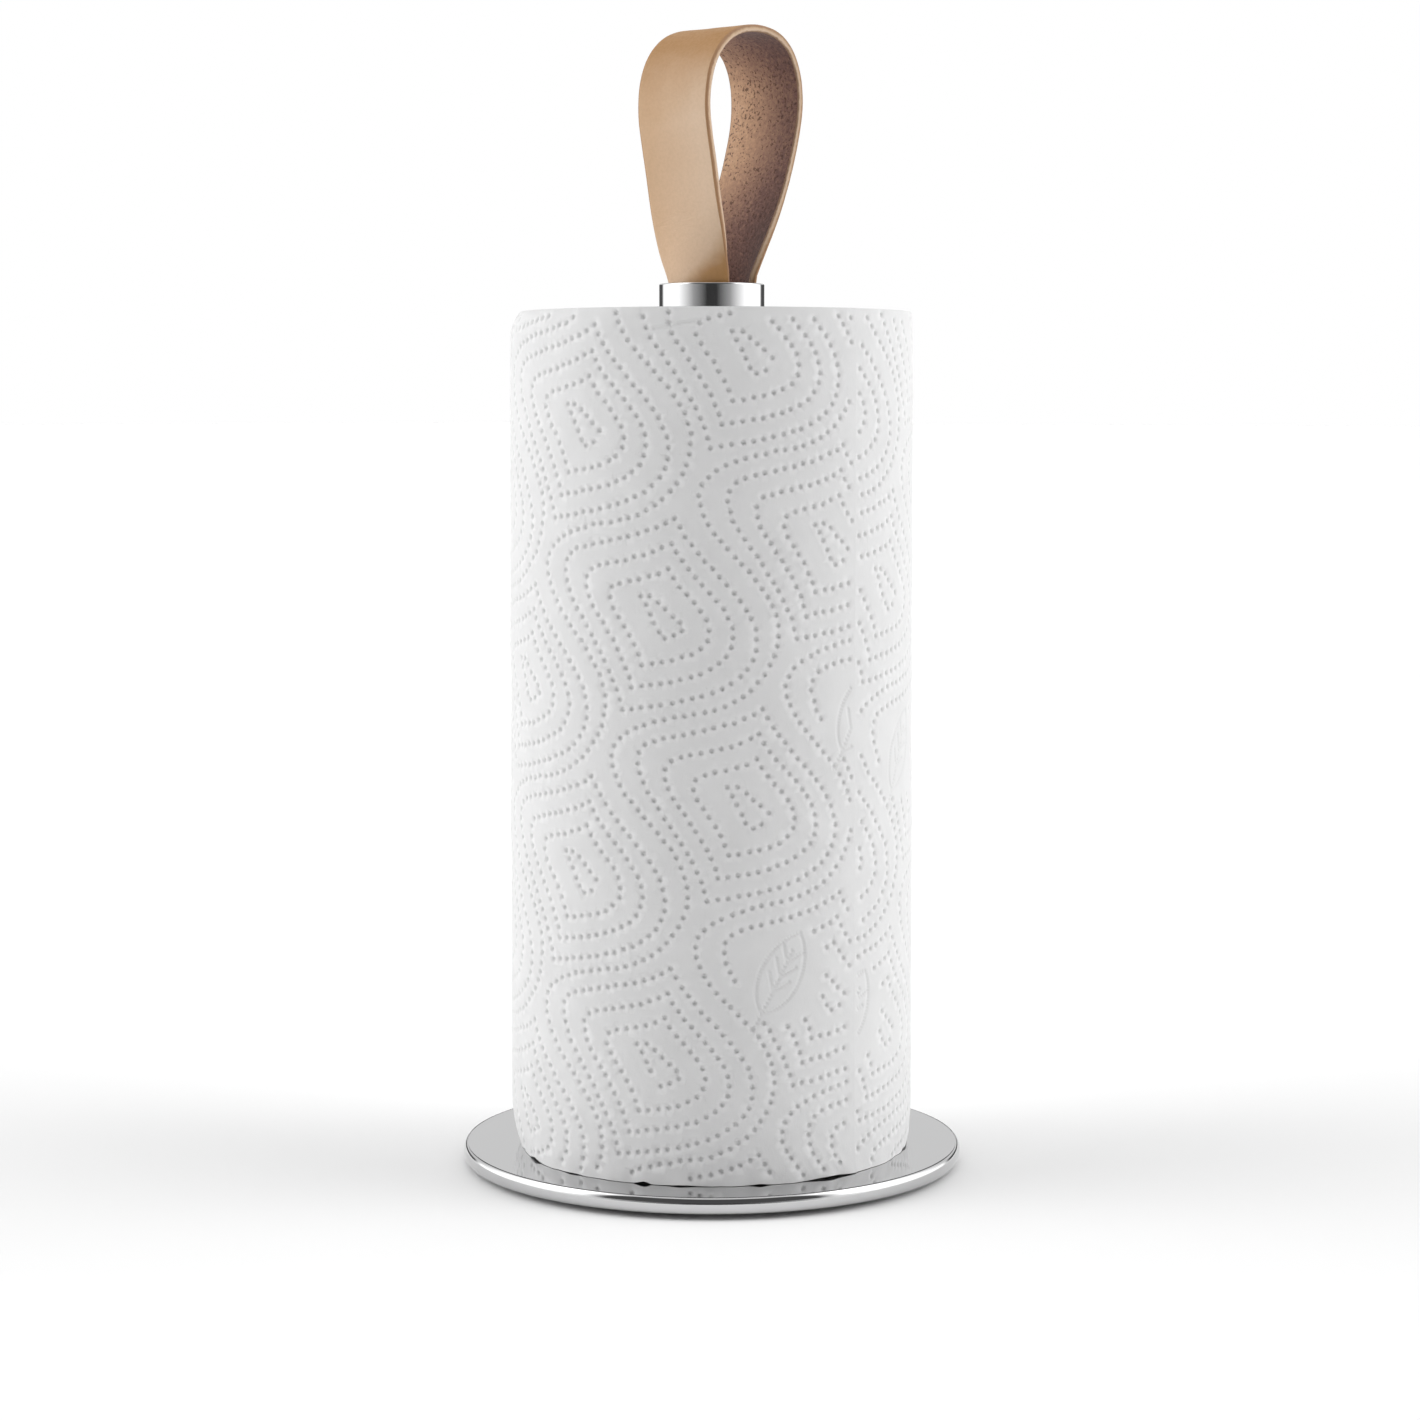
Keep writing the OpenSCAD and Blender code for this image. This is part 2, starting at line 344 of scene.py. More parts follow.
def leather_edge():
    """Cut edge: burnished brown beside the grain, raw and pale beside the flesh."""
    m = Material("leather_edge", Roughness=0.6, Specular_IOR_Level=0.3)
    fibres = m.noise(700, detail=4, roughness=0.7)
    # 0 at the flesh side, 1 at the grain
    through = m.add("Attribute", attribute_name="through").outputs["Fac"]
    layer = m.maths("ADD", through, m.maths("MULTIPLY", m.maths("SUBTRACT", fibres, 0.5), 0.5))
    m.set("Base Color", m.ramp(layer, [
        (0.05, (0.30, 0.19, 0.12)), (0.25, (0.58, 0.43, 0.31)), (0.5, (0.52, 0.36, 0.23)),
        (0.72, (0.30, 0.17, 0.09)), (0.95, (0.36, 0.20, 0.10)),
    ]))
    m.set("Normal", m.bump(fibres, 0.08 * mm, 0.5))
    return m


def rough_iron():
    m = Material("cast_iron", Metallic=1.0, Roughness=0.6)
    grains = m.noise(500, detail=5)
    m.set("Base Color", m.ramp(grains, [(0.3, (0.08, 0.08, 0.085)), (0.7, (0.16, 0.16, 0.165))]))
    m.set("Normal", m.bump(grains, 0.15 * mm, 0.7))
    return m


def pad_rubber():
    m = Material("pad_rubber", Roughness=0.75)
    grains = m.noise(900, detail=3)
    m.set("Base Color", m.ramp(grains, [(0.3, (0.012, 0.012, 0.012)), (0.7, (0.03, 0.03, 0.03))]))
    m.set("Normal", m.bump(grains, 0.08 * mm, 0.6))
    return m


def turned_steel():
    m = Material("turned_steel", Base_Color=(0.52, 0.51, 0.50, 1), Metallic=1.0)
    lines = m.noise(300, m.stretch((1, 1, 14)), detail=4)
    m.set("Roughness", m.ramp(lines, [(0.3, 0.2), (0.7, 0.38)]))
    m.set("Normal", m.bump(lines, 0.02 * mm, 0.5))
    return m


def nylon():
    m = Material("plug_nylon", Roughness=0.5)
    mottle = m.noise(200, detail=3)
    m.set("Base Color", m.ramp(mottle, [(0.3, (0.70, 0.69, 0.65)), (0.7, (0.78, 0.77, 0.73))]))
    m.set("Normal", m.bump(m.noise(1200), 0.02 * mm, 0.4))
    return m


# --- steel pieces ---

def base_shell(steel):
    """The mirror-polished plate with its barrel-shaped rim, as one turned skin."""
    rim_bulge = 1.1 * mm
    flat_r = base_r - rim_bulge
    low = shell_low.z
    half = (base_top - low) / 2
    wall = 0.3 * mm
    top_skin = 1.0 * mm
    lip_t = 0.8 * mm
    lip_r = flat_r - 3.4 * mm
    hole_r = 3.3 * mm
    outline = [(hole_r, base_top), (post_r, base_top), (flat_r * 0.6, base_top)]
    # a fine turned line parts the flat top from the rim
    line_r, line_w, line_h = flat_r - 0.12 * mm, 0.34 * mm, 0.6 * mm
    outline += [(line_r - 0.3 * mm, base_top), (line_r, base_top), (line_r, base_top - line_h)]
    outline += [(line_r + line_w, base_top - line_h)]
    outline += arc(flat_r, low + half, rim_bulge, half, 78.5, -90, 36)
    outline += [(flat_r - 0.4 * mm, low), (lip_r + 0.1 * mm, low), (lip_r, low + 0.1 * mm)]
    outline += [(lip_r, low + lip_t), (flat_r - wall, low + lip_t)]
    outline += [(flat_r - wall, base_top - top_skin), (hole_r, base_top - top_skin)]
    piece = lathe("polished_base", outline, steel, sides=360)
    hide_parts("base_shell")
    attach(piece, "stand")


def post_tube(steel):
    """The post, with its lip turned to a small radius."""
    lip = 0.45 * mm
    wall = 1.2 * mm
    inner = post_r - wall
    outline = [(inner, base_top), (post_r, base_top), (post_r, base_top + 0.05), (post_r, post_top - 0.02)]
    outline += [(post_r, post_top - lip - 0.4 * mm)]
    outline += arc(post_r - lip, post_top - lip, lip, lip, 0, 90, 8)
    outline += [(inner + 0.1 * mm, post_top), (inner, post_top - 0.1 * mm)]
    piece = lathe("polished_post", outline[::-1], steel, sides=192)
    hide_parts("post_tube")
    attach(piece, "stand")


def top_bush(steel):
    """The sleeve that lines the post's mouth, with a rounded inner lip."""
    outer = bush_high.x
    inner = 12 * mm
    lip = 0.4 * mm
    outline = arc(inner + lip, post_top - lip, lip, lip, 180, 90, 6)
    outline += [(outer - 0.1 * mm, post_top), (outer, post_top - 0.1 * mm)]
    outline += [(outer, bush_low.z), (inner, bush_low.z)]
    piece = lathe("mouth_bush", outline, steel, sides=192)
    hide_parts("top_bush")
    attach(piece, "stand")


# --- strap ---

strap_w = 25 * mm
strap_t = 2 * mm
strap_mid = 10.9 * mm                       # middle of the leather inside the bush
leg_h = 25 * mm                             # leather inside the bush
cup_h = 30 * mm                             # height at which the cupped ends have become flat
loop_h = 71.8 * mm
loop_half = 19.5 * mm
loop_lean = 3.9 * mm


def loop_line(steps):
    """Middle line of the loop, as (x, height above the mouth), from one end to the other."""
    left, right, crown = loop_lean - loop_half, loop_lean + loop_half, loop_lean + 1.4 * mm
    side = 0.67 * loop_half
    widest = 0.68 * loop_h
    top = loop_h - strap_t / 2 - 1.8 * mm    # the leather sits a little lower than its plain CAD loop
    bends = [
        [(-strap_mid, 0.17 * widest), (-strap_mid + 0.5 * mm, 0.6 * widest),
         (left, 0.78 * widest), (left, 0.97 * widest)],
        [(left, 0.97 * widest), (left, widest + side), (crown - side + 1.8 * mm, top), (crown, top)],
        [(crown, top), (crown + side - 1.8 * mm, top),
         (right, widest + side + 1.5 * mm), (right, 1.03 * widest)],
        [(right, 1.03 * widest), (right, 0.74 * widest), (strap_mid, 0.37 * widest), (strap_mid, 0)],
    ]
    leg = [Vector((0, -leg_h * (1 - i / 8))) for i in range(8)]
    line = [Vector((-strap_mid, p.y)) for p in leg]
    line += [Vector((-strap_mid, 0.17 * widest * i / 4)) for i in range(4)]
    for bend in bends:
        a, b, c, d = (Vector(p) for p in bend)
        line += [cubic(a, b, c, d, i / steps) for i in range(steps)]
    return line + [Vector((strap_mid, p.y)) for p in reversed(leg)]


def strap(grain, flesh, edge):
    line = loop_line(26)
    across = 26
    corner = 0.55 * mm                      # radius of the burnished edges
    corner_steps = 4

    def section():
        """(place across -1..1 of the width, place out -1..1 of the thickness, material), once round."""
        half_w, half_t = strap_w / 2, strap_t / 2
        flat = half_w - corner
        outline = []
        for i in range(across + 1):
            outline.append((-flat + 2 * flat * i / across, half_t, 0))
        for i in range(1, corner_steps):
            a = math.pi / 2 * (1 - i / corner_steps)
            outline.append((flat + corner * math.cos(a), half_t - corner + corner * math.sin(a), 2))
        for i in range(corner_steps):
            a = -math.pi / 2 * i / corner_steps
            outline.append((flat + corner * math.cos(a), -half_t + corner + corner * math.sin(a), 2))
        for i in range(across + 1):
            outline.append((flat - 2 * flat * i / across, -half_t, 1))
        for i in range(1, corner_steps):
            a = -math.pi / 2 - math.pi / 2 * i / corner_steps
            outline.append((-flat + corner * math.cos(a), -half_t + corner + corner * math.sin(a), 2))
        for i in range(corner_steps):
            a = math.pi - math.pi / 2 * i / corner_steps
            outline.append((-flat + corner * math.cos(a), half_t - corner + corner * math.sin(a), 2))
        return outline

    outline = section()
    count = len(outline)
    points = []
    for i, centre in enumerate(line):
        along = (line[min(i + 1, len(line) - 1)] - line[max(i - 1, 0)]).normalized()
        out = Vector((-along.y, along.x))
        cupped = max(0.0, 1 - max(centre.y, 0) / cup_h) ** 2
        bend = max(cupped / strap_mid, 0.1)
        for s, o, _ in outline:
            a = s * bend
            lift = o * math.cos(a) - (1 - math.cos(a)) / bend
            y = (1 / bend + o) * math.sin(a)
            spot = Vector((centre.x + out.x * lift, y, post_top + centre.y + out.y * lift))
            if centre.y > 2 * mm:
                wave = noise.noise(spot * 120) * 0.12 * mm + noise.noise(spot * 420) * 0.05 * mm
                spot += Vector((out.x, 0, out.y)) * wave
            points.append(spot)
    faces, kinds = [], []
    for i in range(len(line) - 1):
        for j in range(count):
            k = (j + 1) % count
            faces.append((i * count + j, i * count + k, (i + 1) * count + k, (i + 1) * count + j))
            kinds.append(outline[j][2] if outline[j][2] == outline[k][2] else 2)
    last = (len(line) - 1) * count
    faces += [tuple(reversed(range(count))), tuple(range(last, last + count))]
    kinds += [2, 2]
    piece = add_mesh("leather_strap", points, faces, [grain, flesh, edge], sharp=60)
    piece.data.polygons.foreach_set("material_index", kinds)
    through = [0.5 + o / strap_t for _ in line for _, o, _ in outline]
    piece.data.attributes.new("through", "FLOAT", "POINT").data.foreach_set("value", through)
    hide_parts("strap")
    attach(piece, "stand")


# --- kitchen roll ---

tail_angle = math.radians(264)              # where the outer sheet's free edge lies
sheet_t = 0.35 * mm                         # two plies, embossed
dot_depth = 0.55 * mm
dot_r = 0.95 * mm
dot_pitch = 2.75 * mm
front = camera_bearing                      # unrolled distances are counted from here
girth = 2 * math.pi * roll_r
tail_u = roll_r * (tail_angle - front)

# the emboss repeats on this lattice, in the unrolled sheet: (along the sheet, up)
first_cell = Vector((-13.1, 156.6)) * mm
next_right = Vector((47.2, 18.8)) * mm
next_down = Vector((23.1, -50.1)) * mm
ring_count = 4

# the innermost ring, in units of half a cell
CORE = [
    [(-0.110, 0.28), (-0.05, 0.27), (-0.01, 0.25), (0.01, 0.22)],
    [(0.01, 0.22), (0.08, 0.08), (0.13, -0.03), (0.185, -0.145)],
    [(0.185, -0.145), (0.15, -0.19), (0.00, -0.18), (-0.085, -0.175)],
    [(-0.085, -0.175), (-0.10, -0.05), (-0.085, 0.10), (-0.110, 0.28)],
]
# one ring of the emboss, as corners and pulls in units of half a cell, at full size
RING_RIGHT = [
    [(0.70, 1.06), (0.70, 0.55), (1.03, 0.10), (1.05, -0.38)],
    [(1.05, -0.38), (1.05, -0.80), (0.75, -1.03), (0.25, -1.03)],
    [(0.25, -1.03), (-0.15, -1.03), (-0.60, -0.92), (-1.00, -0.83)],
]
RING_LEFT = [
    [(-1.00, -0.83), (-0.90, -0.40), (-1.02, 0.15), (-1.10, 0.55)],
    [(-1.10, 0.55), (-1.18, 0.95), (-1.08, 1.20), (-0.80, 1.19)],
    [(-0.80, 1.19), (-0.45, 1.17), (0.20, 0.98), (0.70, 1.06)],
]
# the line between the cells: from the middle of one cell's foot to that of the next cell up
BORDER = [
    [(0.00, -0.97), (0.45, -1.07), (1.10, -0.80), (1.10, -0.29)],
    [(1.10, -0.29), (1.10, 0.12), (0.84, 0.40), (0.84, 0.78)],
    [(0.84, 0.78), (0.84, 1.24), (1.45, 1.15), (2.00, 1.03)],
]


def walk(beziers, size, centre):
    """Fine points along a chain of curves, in the unrolled sheet."""
    half_right, half_up = next_right / 2, -next_down / 2
    points = []
    for bezier in beziers:
        a, b, c, d = (Vector(p) * size for p in bezier)
        for i in range(24):
            p = cubic(a, b, c, d, i / 24)
            points.append(centre + half_right * p.x + half_up * p.y)
    end = Vector(beziers[-1][3]) * size
    points.append(centre + half_right * end.x + half_up * end.y)
    return points


def spaced(points, pitch):
    """Evenly spaced points along a fine line, from its start to just before its end."""
    lengths = [0.0]
    for a, b in zip(points, points[1:]):
        lengths.append(lengths[-1] + (b - a).length)
    count = max(2, round(lengths[-1] / pitch))
    found, k = [], 0
    for i in range(count):
        want = lengths[-1] * i / count
        while lengths[k + 1] < want:
            k += 1
        t = (want - lengths[k]) / (lengths[k + 1] - lengths[k])
        found.append(points[k].lerp(points[k + 1], t))
    return found


# creases in the plain sheet, from and to, in millimetres
CREASES = [((-15.2, 232.1), (-9.5, 232.9)), ((-8.5, 233.2), (-3.9, 234.0))]


def has_leaf(i, j):
    return (i + j) % 4 == 2


def leaf_lines(centre):
    """A plain leaf: outline, midrib and side veins, as lines in the unrolled sheet."""
    tip = Vector((5.5, 10.5)) * mm
    foot = -tip
    side = Vector((-tip.y, tip.x)).normalized() * 7.5 * mm
    lines = []
    for s in (1, -1):
        a, d = foot, tip
        b, c = foot.lerp(tip, 0.2) + side * s, foot.lerp(tip, 0.75) + side * s
        lines.append([centre + cubic(a, b, c, d, i / 30) for i in range(31)])
    lines.append([centre + foot.lerp(tip, -0.22 + 1.0 * i / 20) for i in range(21)])
    for t in (0.28, 0.46, 0.64):
        for s in (1, -1):
            root = foot.lerp(tip, t)
            end = foot.lerp(tip, t + 0.17) + side * s * 0.42
            lines.append([centre + root.lerp(end, i / 6) for i in range(7)])
    return lines


def emboss():
    """Dots of the whole sheet and lines of its leaves, in the unrolled sheet."""
    margin = 1.4 * mm
    low, high = roll_low + 1.2 * mm, roll_top - 1.5 * mm
    left, right = tail_u - girth + margin, tail_u - margin
    wander = random.Random(7)
    dots, lines, taken = [], [], {}
    leaves = []
    cells = [(i, j) for i in range(-9, 6) for j in range(-5, 8)]
    centres = {c: first_cell + next_right * c[0] + next_down * c[1] for c in cells}
    for cell, centre in centres.items():
        if has_leaf(*cell):
            spot = centre + next_right * -0.21 - next_down * 0.20
            leaves.append(spot)
            lines += leaf_lines(spot)
    for cell, centre in centres.items():
        chains = [(CORE, 1), (BORDER, 1)]
        for k in range(2, ring_count + 1):
            chains += [(RING_RIGHT, 0.2 * k), (RING_LEFT, 0.2 * k)]
        for chain, size in chains:
            for dot in spaced(walk(chain, size, centre), dot_pitch):
                dot = dot + Vector((wander.gauss(0, 0.1), wander.gauss(0, 0.1))) * mm
                if not (left < dot.x < right and low < dot.y < high):
                    continue
                if any((dot - leaf).length < 12.5 * mm for leaf in leaves):
                    continue
                key = (round(dot.x / (2.1 * mm)), round(dot.y / (2.1 * mm)))
                around = [(key[0] + a, key[1] + b) for a in (-1, 0, 1) for b in (-1, 0, 1)]
                near = [p for place in around for p in taken.get(place, ())]
                if all((dot - p).length > 2.05 * mm for p in near):
                    taken.setdefault(key, []).append(dot)
                    dots.append(dot)
    lines += [[Vector(a).lerp(Vector(b), i / 14) * mm for i in range(15)] for a, b in CREASES]
    inside = lambda p: left < p.x < right and low < p.y < high
    return dots, [[p for p in line if inside(p)] for line in lines]


def soft_corner(angle, z):
    """How far the paper pulls in towards the axis near its two ends."""
    above = (z - roll_low) / (13 * mm)
    aside = math.sin(angle - front)         # -1 at the left, 1 at the right
    pull = (2.3 * aside ** 6 + 1.4 * max(0.0, -aside) ** 6 - 1.1) * mm * max(0.0, 1 - above) ** 2.1
    below = (roll_top - z) / (7 * mm)
    crushed = 0.35 * mm + 2.3 * mm * max(0.0, math.cos(angle - front + math.pi / 2)) ** 2
    return pull + crushed * max(0.0, 1 - below) ** 2


def sag(angle, z):
    """Slow unevenness of the rolled paper."""
    spot = Vector((math.cos(angle), math.sin(angle), z * 22))
    slow = noise.noise(spot * 2.1) * 0.2 * mm
    fast = noise.noise(Vector((spot.x * 9, spot.y * 9, z * 180))) * 0.12 * mm
    low_down = max(0.0, 1 - (z - roll_low) / (9 * mm))
    crinkle = noise.noise(Vector((spot.x * 15, spot.y * 15, z * 260))) * 0.45 * mm * low_down
    level = (z - roll_low) / (roll_top - roll_low)
    return slow + fast + crinkle + (0.45 - 0.75 * level) * mm


# (angle from the front in degrees, half width, height): where the foot of the paper is lifted or nicked
GAPS = [
    (-41, 3.0, 0.2), (-19.2, 1.4, 0.45), (-17.8, 0.9, 0.5), (-8, 4.5, 0.2), (13, 2.0, 0.35), (34, 6.5, 0.5),
    (78, 5.0, 0.5), (120, 7.0, 0.6), (163, 3.0, 0.9), (205, 8.0, 0.5), (262, 6.0, 0.6), (300, 3.0, 0.7),
]


def foot_lift(angle):
    turn = math.degrees(angle - front)
    lift = 0.05 * mm * (1 + noise.noise(Vector((math.cos(angle), math.sin(angle), 3)) * 14))
    for place, width, height in GAPS:
        away = (turn - place + 180) % 360 - 180
        lift += height * mm * math.exp(-(away / width) ** 2)
    return lift


def outer_sheet(paper):
    """The outermost turn: one embossed skin that starts and ends at the sheet's free edge."""
    dots, lines = emboss()
    spots = []                              # (u, z, depth, pressed)
    # round the middle of a dot: (radius, depth, share of a step turned, pressed)
    dot_rings = [(0.50 * dot_r, 0.82 * dot_depth, 0, 0.8), (dot_r, -0.04 * mm, 0.5, -0.35)]
    for dot in dots:
        spots.append((dot.x, dot.y, dot_depth, 1.0))
        for r, depth, turn, press in dot_rings:
            for i in range(6):
                a = math.pi / 3 * (i + turn)
                spots.append((dot.x + r * math.cos(a), dot.y + r * math.sin(a), depth, press))
    start, end = tail_u - girth, tail_u
    columns, rows = 352, 231

    def border_spot(column, row):
        u = start + girth * column / columns
        spots.append((u, roll_low + (roll_top - roll_low) * row / rows, 0, 0))
        return len(spots) - 1

    foot = [border_spot(i, 0) for i in range(columns + 1)]
    head = [border_spot(i, rows) for i in range(columns + 1)]
    first = [foot[0]] + [border_spot(0, j) for j in range(1, rows)] + [head[0]]
    last = [foot[-1]] + [border_spot(columns, j) for j in range(1, rows)] + [head[-1]]
    tree = kdtree.KDTree(len(dots))
    for i, dot in enumerate(dots):
        tree.insert((dot.x, dot.y, 0), i)
    tree.balance()
    grooves = [p for line in lines for p in line]
    groove_tree = kdtree.KDTree(max(1, len(grooves)))
    for i, p in enumerate(grooves):
        groove_tree.insert((p.x, p.y, 0), i)
    groove_tree.balance()
    # leaf lines: a fine mesh that follows them
    step = 0.42 * mm
    fine = set()
    for p in grooves:
        for a in range(-3, 4):
            for b in range(-3, 4):
                fine.add((round(p.x / step) + a, round(p.y / step) + b))
    for a, b in sorted(fine):
        u, z = a * step, b * step
        if start + 0.6 * mm < u < end - 0.6 * mm and roll_low + 0.6 * mm < z < roll_top - 0.6 * mm:
            away = groove_tree.find((u, z, 0))[2]
            near_dot = tree.find((u, z, 0))[2]
            if away < 1.25 * mm and near_dot > 0.9 * mm:
                sunk = math.exp(-(away / (0.42 * mm)) ** 2)
                spots.append((u, z, 0.34 * mm * sunk, 0.45 * sunk))
    pitch = 1.75 * mm
    j = 0
    z = roll_low + 0.9 * mm
    while z < roll_top - 0.7 * mm:
        u = start + pitch * (0.5 + 0.5 * (j % 2))
        while u < end - 0.6 * mm:
            near_dot = tree.find((u, z, 0))[2]
            near_line = groove_tree.find((u, z, 0))[2]
            if near_dot > 1.4 * mm and near_line > 1.4 * mm:
                spots.append((u, z, 0, 0))
            u += pitch
        z += pitch * 0.866
        j += 1

    flat = [Vector((u, z)) for u, z, _, _ in spots]
    out = geometry.delaunay_2d_cdt(flat, [], [], 0, 1e-7)
    depth_of = [spots[origins[0]][2] for origins in out[3]]
    press_of = [spots[origins[0]][3] for origins in out[3]]
    uv = out[0]
    triangles = [tuple(t) for t in out[2]]

    def place(u, z, depth):
        angle = front + u / roll_r
        turned = (u - start) / girth
        trough = 0.0
        if depth == 0:
            away = tree.find((u, z, 0))[2]
            trough = 0.20 * mm * math.exp(-(away / (1.8 * mm)) ** 2)
        r = roll_r - sheet_t * (1 - turned) - soft_corner(angle, z) + sag(angle, z) - depth - trough
        near_foot = max(0.0, 1 - (z - roll_low) / (10 * mm)) ** 3
        stand = base_top + 0.04 * mm - roll_low
        return Vector((r * math.cos(angle), r * math.sin(angle), z + (stand + foot_lift(angle)) * near_foot))

    points = [place(p.x, p.y, d) for p, d in zip(uv, depth_of)]
    # every triangle faces outwards
    faces = []
    for a, b, c in triangles:
        pa, pb, pc = uv[a], uv[b], uv[c]
        area = (pb.x - pa.x) * (pc.y - pa.y) - (pb.y - pa.y) * (pc.x - pa.x)
        faces.append((a, b, c) if area > 0 else (a, c, b))
    # inner skin, rims and the free edge
    placed = {origin: i for i, origins in enumerate(out[3]) for origin in origins}
    bottoms, tops, lefts, rights = ([placed[i] for i in border] for border in (foot, head, first, last))
    skin_t = 0.6 * mm
    levels = [0.0, 0.02, 0.05, 0.5, 0.97, 1.0]
    inner = []
    for level in levels:
        row = []
        for i in range(columns):
            angle = front + (start + girth * i / columns) / roll_r
            if level in (0.0, 1.0):
                edge = points[(bottoms if level == 0 else tops)[i]]
                z = edge.z
                r = math.hypot(edge.x, edge.y)
            else:
                z = roll_low + (roll_top - roll_low) * level
                r = roll_r - sheet_t - soft_corner(angle, z) - 0.3 * mm
            r -= skin_t
            row.append(len(points))
            points.append(Vector((r * math.cos(angle), r * math.sin(angle), z)))
        inner.append(row)
    for j in range(len(levels) - 1):
        for i in range(columns):
            k = (i + 1) % columns
            faces.append((inner[j][i], inner[j + 1][i], inner[j + 1][k], inner[j][k]))
    for i in range(columns):
        k = (i + 1) % columns
        b, t = bottoms[i], tops[i]
        b2, t2 = bottoms[i + 1], tops[i + 1]
        faces.append((b, inner[0][i], inner[0][k], b2))
        faces.append((t, t2, inner[-1][k], inner[-1][i]))
    for j in range(rows):
        faces.append((rights[j], lefts[j], lefts[j + 1], rights[j + 1]))
    # close the two small corners at the free edge
    faces.append((bottoms[columns], inner[0][0], bottoms[0]))
    faces.append((tops[columns], tops[0], inner[-1][0]))
    piece = add_mesh("embossed_sheet", points, faces, [paper], sharp=70)
    # pressed also sets the painted shade of the dots and leaf lines in the paper's material
    press_of += [0.0] * (len(points) - len(press_of))
    piece.data.attributes.new("pressed", "FLOAT", "POINT").data.foreach_set("value", press_of)
    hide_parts("outer_sheet")
    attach(piece, "roll")


def paper_winding(edges):
    """The wound body: its two end faces show the edges of the turns."""
    inner, outer = 22.3 * mm, roll_r - 1.0 * mm
    across, sides = 96, 240
    soft = 6 * mm                           # width of the outer zone that follows the sheet's pull
    points, faces = [], []

    def relief(r, angle, seed):
        turn_pitch = 2.1 * mm
        sway = noise.noise(Vector((math.cos(angle), math.sin(angle), seed)) * 1.5)
        phase = (r + 0.4 * mm * sway) / turn_pitch
        phase += angle / (2 * math.pi)
        ridge = 0.5 + 0.5 * math.cos(2 * math.pi * phase)
        spot = Vector((r * math.cos(angle), r * math.sin(angle), seed))
        fine, slow = noise.noise(spot * 90), noise.noise(spot * 30)
        return ridge ** 2 * 0.35 * mm + fine * 0.25 * mm + slow * 0.35 * mm

    rows = []
    for i in range(across + 1):
        r = inner + (outer - inner) * i / across
        fade = smooth((across - i) / 3) * smooth(i / 2)
        rows.append((r, roll_top - 0.9 * mm, fade, 1))
    # the side keeps clear of the dots pressed into the outer sheet
    rows += [(outer - 0.9 * mm, roll_top - 2 * mm, 0, 1), (outer - 0.9 * mm, roll_low + 2 * mm, 0, -1)]
    for i in range(across, -1, -1):
        if i % 3 == 0:
            r = inner + (outer - inner) * i / across
            fade = smooth((across - i) / 3) * smooth(i / 2)
            rows.append((r, roll_low + 0.9 * mm, fade, -1))
    count = len(rows)
    for side in range(sides):
        angle = 2 * math.pi * side / sides
        for r, z, fade, end in rows:
            share = max(0.0, (r - (outer - soft)) / soft)
            radius = r - share * max(0.0, soft_corner(angle, z))
            height = z + end * fade * relief(r, angle, end)
            points.append((radius * math.cos(angle), radius * math.sin(angle), height))
    for side in range(sides):
        here, there = side * count, (side + 1) % sides * count
        for i in range(count):
            j = (i + 1) % count
            faces.append((here + i, here + j, there + j, there + i))
    # outline runs along the top outwards and back along the foot, which is clockwise
    piece = add_mesh("wound_paper", points, faces, [edges], sharp=50)
    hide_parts("paper_winding")
    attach(piece, "roll")


def roll_core(card):
    """Spirally wound cardboard tube with the seam of its outer strip as a shallow groove."""
    outer, inner = core_high.x, core_high.x - 1.0 * mm
    pitch = 62 * mm
    sides, rows = 120, 150
    height = roll_top - roll_low
    points, faces = [], []

    def groove(angle, z):
        phase = (z / pitch + angle / (2 * math.pi)) % 1.0
        away = min(phase, 1 - phase) * pitch
        return 0.22 * mm * math.exp(-(away / (0.9 * mm)) ** 2)

    for row in range(rows + 1):
        z = roll_low + height * row / rows
        for side in range(sides):
            angle = 2 * math.pi * side / sides
            r = inner + groove(angle, z)
            points.append((r * math.cos(angle), r * math.sin(angle), z))
    outer_start = len(points)
    for z in (roll_low, roll_top):
        for side in range(sides):
            angle = 2 * math.pi * side / sides
            points.append((outer * math.cos(angle), outer * math.sin(angle), z))
    for row in range(rows):
        for side in range(sides):
            k = (side + 1) % sides
            a, b = row * sides, (row + 1) * sides
            faces.append((a + side, b + side, b + k, a + k))
    for side in range(sides):
        k = (side + 1) % sides
        a, b, c = outer_start, outer_start + sides, rows * sides
        faces.append((a + side, a + k, b + k, b + side))
        faces.append((side, k, a + k, a + side))
        faces.append((c + side, b + side, b + k, c + k))
    piece = add_mesh("cardboard_core", points, faces, [card], sharp=40)
    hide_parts("roll_core")
    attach(piece, "core")


# --- studio ---

def studio_floor():
    """A plain pale floor in one colour."""
    reach = 30
    floor = bpy.data.meshes.new("floor")
    corners = [(-reach, -reach, 0), (reach, -reach, 0), (reach, reach, 0), (-reach, reach, 0)]
    floor.from_pydata(corners, [], [(0, 1, 2, 3)])
    m = Material("pale_floor", Roughness=1.0, Specular_IOR_Level=0.0)
    m.shader.inputs["Base Color"].default_value = (0.85, 0.85, 0.85, 1)
    floor.materials.append(m.data)
    ground = bpy.data.objects.new("floor", floor)
    bpy.context.scene.collection.objects.link(ground)


